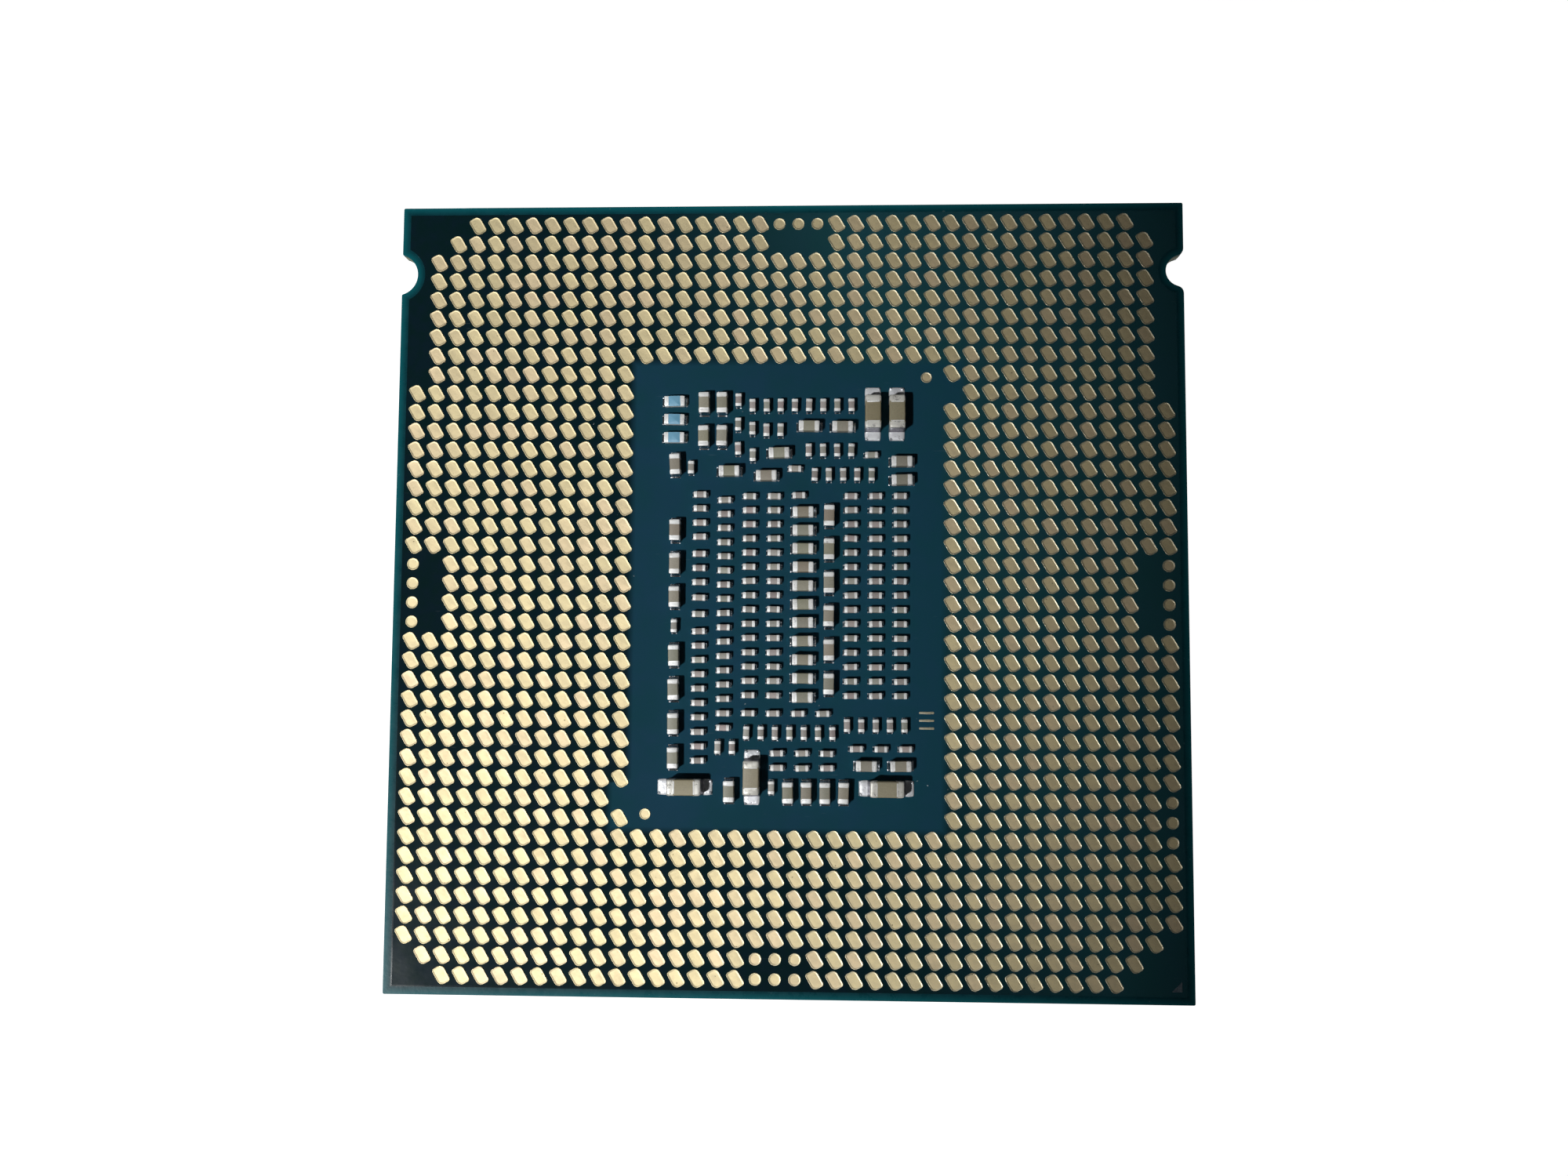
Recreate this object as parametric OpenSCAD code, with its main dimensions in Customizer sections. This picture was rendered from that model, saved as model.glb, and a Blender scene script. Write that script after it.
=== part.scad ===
// Desktop processor: a square laminate package with a field of contact lands and chip parts on
// one face, and a stepped metal heat spreader over the die on the other.
// The part lies on its heat spreader, lands up: +Z points out of the land face, +Y points to the
// end with the keying notches, and the origin is the centre of the heat spreader's contact face.
// All sizes are in millimetres.

/* [Laminate] */
// Side of the square laminate
package_w = 37.5; // [37.3:0.1:38.5]
// Thickness of the woven glass core
core_t = 0.42; // [0.3:0.02:0.9]
// Thickness of each build-up layer stack
buildup_t = 0.20; // [0.1:0.02:0.3]
// Thickness of each solder mask over the bare laminate
mask_t = 0.03; // [0.02:0.005:0.04]
// Thickness of each outer copper plane, under the mask
copper_t = 0.015; // [0.01:0.001:0.018]
// Distance that the copper planes stay back from the laminate's edge
copper_pullback = 0.40; // [0.1:0.02:0.44]

/* [Keying notches] */
// Height of both notches along the package, from its centre
notch_y = 15.45; // [14:0.05:16]
// Radius of the left notch
left_notch_r = 1.0; // [0.6:0.05:1.2]
// Distance from the left edge out to that notch's centre
left_notch_out = 0.24; // [0:0.02:0.5]
// Radius of the right notch
right_notch_r = 0.76; // [0.5:0.02:1]
// Distance from the right edge in to that notch's centre
right_notch_in = 0.08; // [0:0.02:0.2]
// Radius of the rounded corners at the right notch's mouth
right_notch_flare = 0.36; // [0.2:0.02:0.5]

/* [Contact lands] */
// Centre distance of neighbouring lands, both ways
land_pitch = 0.9144; // [0.88:0.0002:0.9144]
// Length of a land
land_l = 0.86; // [0.7:0.01:0.88]
// Width of a land
land_w = 0.585; // [0.4:0.005:0.62]
// Height of a land above the mask
land_t = 0.03; // [0.02:0.005:0.06]
// Lean of every land, anticlockwise from +Y
land_lean = 30; // [0:1:45]
// Diameter of a round test pad on the grid
test_pad_d = 0.59; // [0.4:0.01:0.7]
// Diameter of a fiducial pad
fiducial_d = 0.53; // [0.4:0.01:0.7]
// Place of the fiducial pads from the centre, one each side of it
fiducial_xy = [6.57, 10.32]; // [6:0.01:11]

/* [Heat spreader] */
// Contact plateau, X and Y
plateau = [28.6, 30.4]; // [20:0.1:31]
// Flange outline, X and Y
flange = [34.0, 31.6]; // [31:0.1:35]
// Height of the plateau beyond the flange
plateau_h = 1.60; // [1:0.05:2]
// Thickness of the flange and its foot
flange_t = 1.67; // [1.4:0.01:2]
// Cavity in the underside, X and Y
cavity = [26.0, 26.6]; // [17:0.1:27]
// Depth of the cavity
cavity_h = 0.80; // [0.7:0.01:0.9]
// Corner radius of plateau, flange and cavity
spreader_r = 1.2; // [0.5:0.1:2]

/* [Die and sealant] */
// Silicon die, X and Y
die = [9.2, 13.6]; // [5:0.1:14]
// Height of the solder bumps under the die
bump_h = 0.07; // [0.05:0.01:0.1]
// Diameter of a solder bump
bump_d = 0.30; // [0.1:0.01:0.35]
// Centre distance of the solder bumps
bump_pitch = 0.80; // [0.5:0.05:1.5]
// Thickness of the thermal interface between die and heat spreader
interface_t = 0.10; // [0.05:0.01:0.2]
// Corner radius of the thermal interface
interface_r = 0.3; // [0.1:0.1:1]
// Thickness of the sealant bead
sealant_t = 0.15; // [0.1:0.01:0.2]
// Width of the sealant bead
sealant_w = 1.6; // [1:0.1:1.9]
// Distance from the flange's edge in to the bead
sealant_inset = 0.25; // [0.1:0.05:0.6]
// Width of the vent gap in the bead, at the notch end
vent_w = 3.0; // [1:0.5:6]
// Distance of the vent gap from the middle, towards +X
vent_x = 8.5; // [-10:0.5:10]
// Spread of the underfill beyond the die at the laminate
underfill_spread = 0.9; // [0.4:0.1:1.5]

/* [Chip parts] */
// Small chip capacitor: length, width, height
small_size = [0.60, 0.30, 0.30]; // [0.2:0.01:0.65]
// Medium chip capacitor: length, width, height
medium_size = [0.98, 0.51, 0.50]; // [0.3:0.01:1.1]
// Large chip capacitor: length, width, height
large_size = [1.58, 0.76, 0.78]; // [0.5:0.01:1.7]
// Chip resistor: length, width, height
resistor_size = [0.97, 0.50, 0.34]; // [0.3:0.01:1.1]
// Part of a chip's length that each metal end takes: small, medium, large, resistor
end_part = [0.25, 0.245, 0.235, 0.225]; // [0.1:0.005:0.4]
// Length of solder beyond each end: small, medium, large, resistor
solder_out = [0.08, 0.13, 0.49, 0.12]; // [0.05:0.01:0.5]
// Thickness of the solder that carries every chip part
solder_t = 0.03; // [0.01:0.005:0.05]
// Thickness of the blue overglaze on the resistors
glaze_t = 0.04; // [0.02:0.01:0.08]
// Centre distance of neighbouring small capacitors
small_pitch = 0.67; // [0.64:0.005:0.7]

/* [Marks] */
// Leg of the pin one triangle on the land face
land_mark = 0.48; // [0.3:0.02:0.8]
// Leg of the pin one triangle on the lid face
lid_mark = 1.1; // [0.5:0.1:1.3]
// Place of the corner of both triangles from the centre, along X and -Y
mark_corner = 18.15; // [17.5:0.05:18.3]
// Plain bars that stand for the stencilled mark: length, width, centre distance
mark_bar = [0.70, 0.11, 0.36]; // [0.1:0.01:0.8]
// Place of the middle bar
mark_xy = [6.55, -5.90]; // [-6.6:0.05:6.6]

/* [Hidden] */
$fn = 48;
eps = 0.01;

// Heights of the stack, from the contact face up
flange_z = plateau_h;
foot_z = plateau_h + flange_t;
laminate_z = foot_z + sealant_t;
cavity_z = foot_z - cavity_h;
lower_copper_z = laminate_z + mask_t - copper_t;
lower_buildup_z = laminate_z + mask_t;
core_z = lower_buildup_z + buildup_t;
upper_buildup_z = core_z + core_t;
upper_mask_z = upper_buildup_z + buildup_t;
land_z = upper_mask_z + mask_t;
chip_z = land_z + solder_t;
die_t = laminate_z - bump_h - interface_t - cavity_z;
copper_w = package_w - 2 * copper_pullback;

// Length of each chip part's metal ends
small_end = small_size[0] * end_part[0];
medium_end = medium_size[0] * end_part[1];
large_end = large_size[0] * end_part[2];
resistor_end = resistor_size[0] * end_part[3];

// Land map: grid row 20 is the notch end's outermost and row -19 the far end's; columns run from
// 1 at -X to 40 at +X. Each entry is [first row, last row, first column, last column].
grid_n = 40;
map_north = [
    [20, 20, 4, 19], [20, 20, 23, 38], [19, 19, 3, 19], [19, 19, 23, 39], [13, 18, 2, 39]
];
map_west = [
    [12, 12, 2, 12], [3, 11, 1, 12], [-1, 2, 3, 12], [-9, -2, 1, 12], [-10, -10, 1, 11], [-11, -11, 1, 12]
];
map_east = [
    [12, 12, 29, 39], [11, 11, 30, 39], [3, 10, 29, 40], [-1, 2, 29, 38], [-9, -2, 29, 40],
    [-11, -10, 29, 39]
];
map_south = [
    [-12, -12, 1, 39], [-16, -13, 1, 40], [-17, -17, 1, 39], [-18, -18, 2, 18], [-18, -18, 22, 38],
    [-19, -19, 3, 18], [-19, -19, 22, 37]
];
map_test = [
    [20, 20, 20, 22], [-1, 2, 1, 1], [-1, 2, 40, 40], [-12, -10, 40, 40], [-19, -18, 19, 21]
];

// Chip parts: [x, y, turn], where turn 0 lies along X and 90 along Y
function run(x, y, dx, dy, n, turn) = [for (i = [0 : n - 1]) [x + i * dx, y + i * dy, turn]];
sp = small_pitch;
field_columns = [-1.765, -0.61, 3.01, 4.165, 5.32];
small_places = concat(
    // Field of short rows between the lands
    [for (x = field_columns) each run(x, 4.61, 0, -sp, 15, 0)],
    run(-2.95, 4.43, 0, -sp, 17, 0),
    run(-4.12, 4.69, 0, -sp, 4, 0),
    run(-4.12, 1.87, 0, -sp, 3, 0),
    [[-4.12, -0.20, 0], [-4.12, -0.97, 0]],
    run(-4.12, -1.79, 0, -sp, 10, 0),
    run(-1.765, -5.61, 1.165, 0, 4, 0),
    // Notch end
    [[-2.34, 9.21, 90], [-2.35, 8.04, 90], [-2.35, 6.88, 90], [-1.67, 7.84, 90], [-1.64, 6.57, 90]],
    run(-1.67, 8.95, sp, 0, 8, 90),
    run(-1.00, 7.77, sp, 0, 2, 90),
    run(1.01, 6.80, sp, 0, 4, 90),
    run(1.29, 5.635, sp, 0, 5, 90),
    [[3.96, 6.565, 0], [0.365, 5.915, 0], [0.56, 4.64, 0]],
    [[-4.56, 5.99, 90], [-5.29, -1.54, 90]],
    // Far end
    run(-3.185, -7.195, sp, 0, 2, 90),
    run(-1.85, -6.52, sp, 0, 7, 90),
    run(2.835, -6.15, sp, 0, 5, 90),
    run(3.275, -7.235, 1.145, 0, 3, 0),
    run(-0.41, -7.455, 1.16, 0, 3, 0),
    run(-0.41, -8.13, 1.16, 0, 3, 0),
    [[-0.665, -9.045, 90]]
);
medium_places = concat(
    run(-3.975, 9.055, 0.86, 0, 2, 90),
    run(-3.975, 7.465, 0.86, 0, 2, 90),
    [[-5.325, 6.115, 90]],
    run(-5.28, 2.98, 0, -1.575, 3, 90),
    run(-5.28, -2.92, 0, -1.59, 4, 90),
    run(1.985, 3.68, 0, -1.58, 6, 90),
    run(0.10, -9.265, 0.865, 0, 4, 90),
    [[-2.645, -9.22, 90]],
    [[-2.755, 5.795, 0], [-0.995, 5.57, 0], [-0.40, 6.665, 0], [1.03, 7.93, 0], [2.60, 7.91, 0]],
    [[5.385, 6.25, 0], [5.385, 5.37, 0], [3.75, -8.01, 0], [5.325, -8.01, 0]],
    run(0.765, 3.85, 0, -0.87, 11, 0)
);
large_places = [
    [4.03, 8.56, 90], [5.165, 8.56, 90], [-1.58, -8.58, 90], [-4.71, -9.05, 0], [4.68, -9.05, 0]
];
resistor_places = run(-5.38, 9.15, 0, -0.87, 3, 0);

// A flat plate with round corners, standing on z
module plate(size, r, z, t) {
    translate([0, 0, z]) linear_extrude(t) {
        square([size[0] - 2 * r, size[1]], center = true);
        square([size[0], size[1] - 2 * r], center = true);
        for (sx = [-1, 1], sy = [-1, 1])
            translate([sx * (size[0] / 2 - r), sy * (size[1] / 2 - r)]) circle(r = r);
    }
}

// A square with the two keying notches cut out, all of its walls moved in by back
module package_outline(w, back) {
    edge = package_w / 2;
    difference() {
        square(w, center = true);
        translate([-edge - left_notch_out, notch_y]) circle(r = left_notch_r + back);
        translate([edge - right_notch_in, notch_y]) circle(r = right_notch_r + back);
        if (back < right_notch_flare)
            translate([edge - right_notch_in, notch_y]) notch_mouth(back);
    }
}

// The widening mouth of the right notch. Its round corners touch the notch's own circle, whose
// centre is the origin here.
module notch_mouth(back) {
    reach = right_notch_r + right_notch_flare;
    corner_x = right_notch_in - right_notch_flare;
    corner_y = sqrt(reach * reach - corner_x * corner_x);
    touch_x = corner_x * (right_notch_r + back) / reach;
    difference() {
        translate([touch_x, -corner_y]) square([reach, 2 * corner_y]);
        for (s = [-1, 1]) translate([corner_x, s * corner_y]) circle(r = right_notch_flare - back);
    }
}

// One laminate layer
module layer(w, back, z, t) {
    translate([0, 0, z]) linear_extrude(t) package_outline(w, back);
}

// Stepped lid with a cavity for the die
module heat_spreader() {
    color("silver") difference() {
        union() {
            plate(plateau, spreader_r, 0, plateau_h);
            plate(flange, spreader_r, flange_z, flange_t);
        }
        plate(cavity, spreader_r, cavity_z, cavity_h + eps);
    }
}

// Bead between the lid's foot and the laminate, with a vent gap at the notch end
module lid_sealant() {
    outer = [for (s = flange) s - 2 * sealant_inset];
    inner = [for (s = outer) s - 2 * sealant_w];
    color("black") difference() {
        plate(outer, spreader_r, foot_z, sealant_t);
        plate(inner, spreader_r, foot_z - eps, sealant_t + 2 * eps);
        translate([vent_x, flange[1] / 2, foot_z])
            cube([vent_w, 2 * (sealant_inset + sealant_w) + eps, 2 * sealant_t + eps], center = true);
    }
}

module thermal_interface() {
    color("lightsteelblue") plate(die, interface_r, cavity_z, interface_t);
}

module silicon_die() {
    color("dimgray") translate([-die[0] / 2, -die[1] / 2, cavity_z + interface_t])
        cube([die[0], die[1], die_t]);
}

// Solder bumps, counted to fill the die at the chosen pitch
module solder_bumps() {
    columns = floor((die[0] - bump_d) / bump_pitch);
    rows = floor((die[1] - bump_d) / bump_pitch);
    color("silver") for (i = [0 : columns], j = [0 : rows])
        translate([(i - columns / 2) * bump_pitch, (j - rows / 2) * bump_pitch, laminate_z - bump_h])
            cylinder(h = bump_h, d = bump_d);
}

// Resin collar around the die's foot, in two steps
module die_underfill() {
    step_t = (bump_h + die_t / 2) / 2;
    color("saddlebrown") difference() {
        union() {
            plate([for (s = die) s + 2 * underfill_spread], underfill_spread, laminate_z - step_t, step_t);
            plate([for (s = die) s + underfill_spread], underfill_spread / 2, laminate_z - 2 * step_t,
                step_t + eps);
        }
        translate([-die[0] / 2, -die[1] / 2, laminate_z - 3 * step_t]) cube([die[0], die[1], 4 * step_t]);
    }
}

module die_side_mask() {
    color("darkslategray") difference() {
        layer(package_w, 0, laminate_z, mask_t);
        layer(copper_w, copper_pullback, lower_copper_z, copper_t + eps);
    }
}

module die_side_copper() {
    color("peru") layer(copper_w, copper_pullback, lower_copper_z, copper_t);
}

module die_side_buildup() {
    color("teal") layer(package_w, 0, lower_buildup_z, buildup_t);
}

module laminate_core() {
    color("olive") layer(package_w, 0, core_z, core_t);
}

module land_side_buildup() {
    color("teal") layer(package_w, 0, upper_buildup_z, buildup_t);
}

module land_side_copper() {
    color("peru") layer(copper_w, copper_pullback, upper_mask_z, copper_t);
}

module land_side_mask() {
    color("darkslategray") difference() {
        layer(package_w, 0, upper_mask_z, mask_t);
        layer(copper_w, copper_pullback, upper_mask_z - eps, copper_t + eps);
    }
}

// Puts its child on every grid place of a map
module on_grid(map) {
    for (m = map, row = [m[0] : m[1]], column = [m[2] : m[3]])
        translate([(column - (grid_n + 1) / 2) * land_pitch, (row - 0.5) * land_pitch, land_z])
            children();
}

// One land: a leaning bar with round ends
module land() {
    rotate(land_lean) linear_extrude(land_t) intersection() {
        circle(d = land_l);
        square([land_w, 2 * land_l], center = true);
    }
}

module lands(map) {
    color("gold") on_grid(map) land();
}

module test_pads() {
    color("gold") on_grid(map_test) cylinder(h = land_t, d = test_pad_d);
}

module fiducial_pads() {
    color("gold") for (s = [-1, 1])
        translate([s * fiducial_xy[0], s * fiducial_xy[1], land_z]) cylinder(h = land_t, d = fiducial_d);
}

// A right triangle whose square corner points to the package's pin one corner
module corner_triangle(leg, z, t) {
    translate([mark_corner, -mark_corner, z]) linear_extrude(t) polygon([[0, 0], [-leg, 0], [0, leg]]);
}

module pin_one_mark() {
    color("slategray") corner_triangle(land_mark, land_z, copper_t);
}

module lid_side_pin_one_mark() {
    color("gold") corner_triangle(lid_mark, laminate_z - copper_t, copper_t);
}

module stencil_mark() {
    color("darkkhaki") for (i = [-1, 0, 1])
        translate([mark_xy[0] - mark_bar[0] / 2, mark_xy[1] + i * mark_bar[2] - mark_bar[1] / 2, land_z])
            cube([mark_bar[0], mark_bar[1], copper_t]);
}

// Puts its child on every place of a list, turned as the place says
module on_places(places) {
    for (place = places) translate([place[0], place[1], 0]) rotate(place[2]) children();
}

// The ceramic of a chip part, between its metal ends
module chip_bodies(places, size, end) {
    on_places(places) translate([-size[0] / 2 + end, -size[1] / 2, chip_z])
        cube([size[0] - 2 * end, size[1], size[2]]);
}

// The two metal ends of a chip part
module chip_ends(places, size, end) {
    on_places(places) for (s = [-1, 1])
        translate([s * (size[0] - end) / 2 - end / 2, -size[1] / 2, chip_z]) cube([end, size[1], size[2]]);
}

// The two solder joints under and beyond a chip part's ends
module chip_solder(places, size, end, out) {
    on_places(places) for (s = [-1, 1])
        translate([s * (size[0] - end + out) / 2 - (end + out) / 2, -size[1] / 2, land_z])
            cube([end + out, size[1], solder_t]);
}

module resistor_bodies() {
    size = [resistor_size[0], resistor_size[1], resistor_size[2] - glaze_t];
    color("white") chip_bodies(resistor_places, size, resistor_end);
}

module resistor_glaze() {
    length = resistor_size[0] - 2 * resistor_end;
    color("steelblue") on_places(resistor_places)
        translate([-length / 2, -resistor_size[1] / 2, chip_z + resistor_size[2] - glaze_t])
            cube([length, resistor_size[1], glaze_t]);
}

heat_spreader();
lid_sealant();
thermal_interface();
silicon_die();
die_underfill();
solder_bumps();
die_side_mask();
die_side_copper();
die_side_buildup();
laminate_core();
land_side_buildup();
land_side_copper();
land_side_mask();
lands(map_north);  // lands_north
lands(map_west);  // lands_west
lands(map_east);  // lands_east
lands(map_south);  // lands_south
test_pads();
fiducial_pads();
pin_one_mark();
lid_side_pin_one_mark();
stencil_mark();
color("rosybrown") chip_bodies(small_places, small_size, small_end);  // small_capacitors
color("whitesmoke") chip_ends(small_places, small_size, small_end);  // small_capacitor_ends
color("silver") chip_solder(small_places, small_size, small_end, solder_out[0]);  // small_capacitor_solder
color("tan") chip_bodies(medium_places, medium_size, medium_end);  // medium_capacitors
color("whitesmoke") chip_ends(medium_places, medium_size, medium_end);  // medium_capacitor_ends
color("silver") chip_solder(medium_places, medium_size, medium_end, solder_out[1]);  // medium_capacitor_solder
color("tan") chip_bodies(large_places, large_size, large_end);  // large_capacitors
color("whitesmoke") chip_ends(large_places, large_size, large_end);  // large_capacitor_ends
color("silver") chip_solder(large_places, large_size, large_end, solder_out[2]);  // large_capacitor_solder
resistor_bodies();
resistor_glaze();
color("whitesmoke") chip_ends(resistor_places, resistor_size, resistor_end);  // resistor_ends
color("silver") chip_solder(resistor_places, resistor_size, resistor_end, solder_out[3]);  // resistor_solder
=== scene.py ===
"""Looks for a desktop processor that lies on its heat spreader with its contact lands up.

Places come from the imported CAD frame. Lengths are in millimetres until a mesh is made, and the
package's outline is worked out from the same notch sizes as the CAD part's.
"""
import math
import random

import bmesh
import bpy
import numpy as np
from mathutils import Matrix, Vector


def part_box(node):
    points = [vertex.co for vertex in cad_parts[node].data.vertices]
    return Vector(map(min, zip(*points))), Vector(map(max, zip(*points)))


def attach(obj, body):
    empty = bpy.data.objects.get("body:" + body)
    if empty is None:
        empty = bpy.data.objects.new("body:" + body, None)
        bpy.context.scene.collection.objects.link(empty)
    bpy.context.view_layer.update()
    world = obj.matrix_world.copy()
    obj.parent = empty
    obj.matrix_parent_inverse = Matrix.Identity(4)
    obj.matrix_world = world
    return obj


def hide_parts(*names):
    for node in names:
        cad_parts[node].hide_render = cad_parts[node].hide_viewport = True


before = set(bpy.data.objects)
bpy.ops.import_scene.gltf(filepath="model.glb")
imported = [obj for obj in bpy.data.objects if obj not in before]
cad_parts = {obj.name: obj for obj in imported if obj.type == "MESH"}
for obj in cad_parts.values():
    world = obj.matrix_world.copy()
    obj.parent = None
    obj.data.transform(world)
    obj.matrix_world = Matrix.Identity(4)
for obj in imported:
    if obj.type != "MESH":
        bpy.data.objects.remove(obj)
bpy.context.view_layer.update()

MM = 0.001
BODY = "root"

# Package outline
NOTCH_Y = 15.45
LEFT_NOTCH = {"centre_in": -0.24, "radius": 1.0, "flare": 0.08}
RIGHT_NOTCH = {"centre_in": 0.08, "radius": 0.76, "flare": 0.36}
CORNER_R = 0.08
SMALLEST_R = 0.02
# How far back from the edge the copper stops, and how much lower the mask lies there and at its rim
COPPER_BACK = 0.40
STRIP_DROP = 0.006
RIM_DROP = 0.010

# Half the sides of the field of chip parts, and how it widens at its two corners with a fiducial pad
FIELD = (7.2, 10.9)
FIELD_CORNER_Y = 8.7
FIELD_CORNER_W = 0.9
FIELD_FADE = 0.35

# Contact lands
LAND_W, LAND_L = 0.585, 0.86
LAND_RADII = (0.25, 0.135, 0.25, 0.135)
LAND_LEAN = math.radians(30)

# Heat spreader
PLATEAU = (28.6, 30.4)
STEP_Z = 1.60
CAVITY = (26.0, 26.6)
CAVITY_H = 0.80
SPREADER_R = 1.2

# Sealant bead
BEAD_W = 1.6
VENT_X, VENT_W = 8.5, 3.0


# ---- Reading the frame --------------------------------------------------------------------------


def box(node):
    """Lowest and highest corner of a CAD node, in mm."""
    low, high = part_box(node)
    return np.array(low) / MM, np.array(high) / MM


def islands(node):
    """Lowest and highest corner of each separate solid of a CAD node, in mm, in a fixed order."""
    merge = 1e-7
    bm = bmesh.new()
    bm.from_mesh(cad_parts[node].data)
    bmesh.ops.remove_doubles(bm, verts=bm.verts, dist=merge)
    seen, found = set(), []
    for start in bm.verts:
        if start in seen:
            continue
        seen.add(start)
        group = [start]
        for vert in group:
            for edge in vert.link_edges:
                other = edge.other_vert(vert)
                if other not in seen:
                    seen.add(other)
                    group.append(other)
        points = np.array([vert.co for vert in group]) / MM
        found.append((points.min(0), points.max(0)))
    bm.free()
    return sorted(found, key=lambda corners: (round(corners[0][0], 3), round(corners[0][1], 3)))


# ---- Building meshes ----------------------------------------------------------------------------


def rounded(width, length, radii, inset=0.0, steps=5):
    """Outline of a rectangle with round corners, anticlockwise from +X +Y, moved in by inset."""
    points = []
    for k, (sx, sy) in enumerate(((1, 1), (-1, 1), (-1, -1), (1, -1))):
        r = max(radii[k] - inset, 0.1 * radii[k])
        cx = sx * (width / 2 - inset - r)
        cy = sy * (length / 2 - inset - r)
        for i in range(steps):
            a = math.pi / 2 * (k + i / (steps - 1))
            points.append((cx + r * math.cos(a), cy + r * math.sin(a)))
    return points


def circle(radius, steps):
    """Outline of a circle, anticlockwise."""
    turns = [2 * math.pi * i / steps for i in range(steps)]
    return [(radius * math.cos(a), radius * math.sin(a)) for a in turns]


def flat(outline, z):
    """An outline laid level at height z."""
    return [(x, y, z) for x, y in outline]


def upright(outline, x, z):
    """An outline stood across the X axis at x, with its middle at height z."""
    return [(x, a, z + b) for a, b in outline]


def loft(rings, slots=None, closed=False):
    """A shape through rings of equal length, with a flat face at each end, or joined end to start.

    slots gives the material of each stretch between rings, and then that of the last end. The first
    end has the same material as the first stretch.
    """
    n = len(rings[0])
    count = len(rings)
    points = np.array([p for ring in rings for p in ring], float)
    faces, marks = [], []
    for k in range(count if closed else count - 1):
        a, b = k * n, (k + 1) % count * n
        for i in range(n):
            j = (i + 1) % n
            faces.append((a + i, a + j, b + j, b + i))
            marks.append(slots[k] if slots else 0)
    if not closed:
        faces.append(tuple(reversed(range(n))))
        faces.append(tuple(range((count - 1) * n, count * n)))
        marks += [slots[0], slots[-1]] if slots else [0, 0]
    return points, faces, marks


def roughened(shape, amount, rng):
    """The same shape with every point moved a little at random."""
    points, faces, marks = shape
    return points + rng.normal(0.0, amount, points.shape), faces, marks


class Gather:
    """Collects copies of small shapes into one mesh, with a tint for every copy or every point."""

    def __init__(self):
        self.points, self.faces, self.marks, self.tints = [], [], [], []
        self.count = 0

    def add(self, shape, place=(0.0, 0.0, 0.0), turn=0.0, tint=(0.5, 0.5, 0.5)):
        points, faces, marks = shape
        c, s = math.cos(turn), math.sin(turn)
        spin = np.array(((c, s, 0.0), (-s, c, 0.0), (0.0, 0.0, 1.0)))
        self.points.append(points @ spin + np.array(place, float))
        self.faces += [tuple(i + self.count for i in face) for face in faces]
        self.marks += marks
        each = tint if isinstance(tint, list) else [tint] * len(points)
        self.tints += [(*values, 1.0) for values in each]
        self.count += len(points)
        return self


def piece(name, shape, materials, replaces, sharp=35):
    """Makes the named mesh object, rides it on the body and hides the CAD nodes that it stands for."""
    gathered = shape if isinstance(shape, Gather) else Gather().add(shape)
    mesh = bpy.data.meshes.new(name)
    mesh.from_pydata((np.concatenate(gathered.points) * MM).tolist(), [], gathered.faces)
    for material in materials:
        mesh.materials.append(material)
    mesh.polygons.foreach_set("material_index", gathered.marks)
    tint = mesh.attributes.new("tint", "FLOAT_COLOR", "POINT")
    tint.data.foreach_set("color", np.array(gathered.tints, np.float32).ravel())
    mesh.shade_smooth()
    mesh.set_sharp_from_angle(angle=math.radians(sharp))
    mesh.update()
    made = bpy.data.objects.new(name, mesh)
    bpy.context.scene.collection.objects.link(made)
    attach(made, BODY)
    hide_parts(*replaces)
    return made


# ---- Materials ----------------------------------------------------------------------------------


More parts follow.
